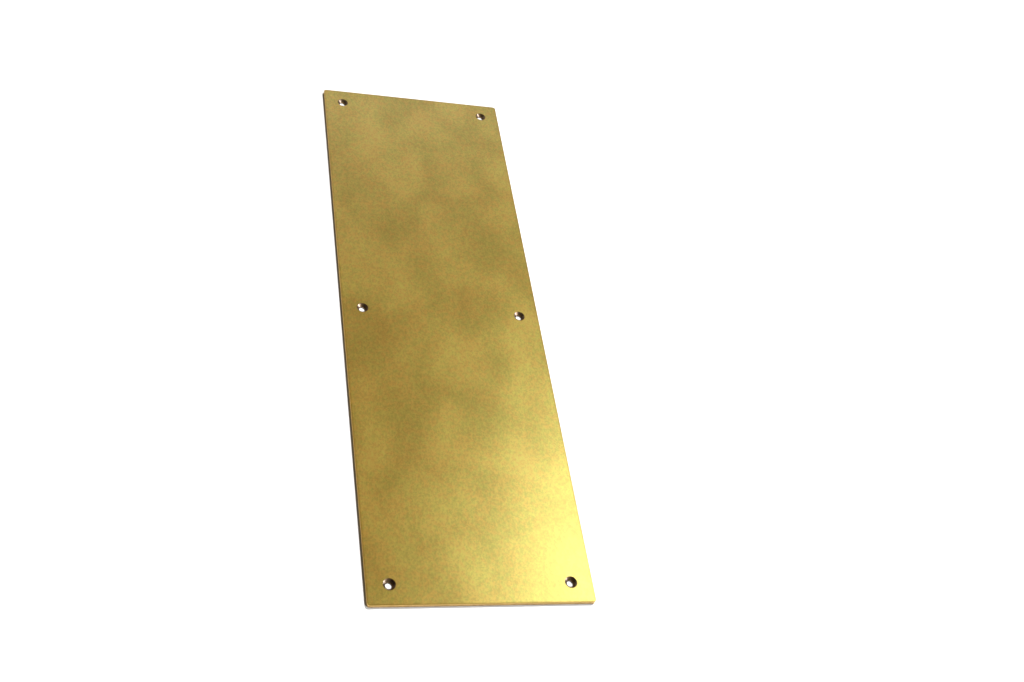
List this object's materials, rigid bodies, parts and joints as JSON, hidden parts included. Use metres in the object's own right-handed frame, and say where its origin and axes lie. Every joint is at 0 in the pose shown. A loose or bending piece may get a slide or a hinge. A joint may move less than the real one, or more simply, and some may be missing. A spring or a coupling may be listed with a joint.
{
  "type": "kick plate",
  "caption": "Flat rectangular brass kick plate with rounded corners and countersunk screw holes along both long sides.",
  "frame": {"origin": "middle of the back face, the side that rests on the door", "axes": "+Z out of the countersunk face, +Y along the plate's length, +X across its width"},
  "size_m": [0.15, 0.475, 0.003],
  "materials": {
    "satin_brass": "satin, unlacquered and slightly aged"
  },
  "bodies": {
    "root": {"kick_plate": "satin_brass"}
  },
  "joints": []
}
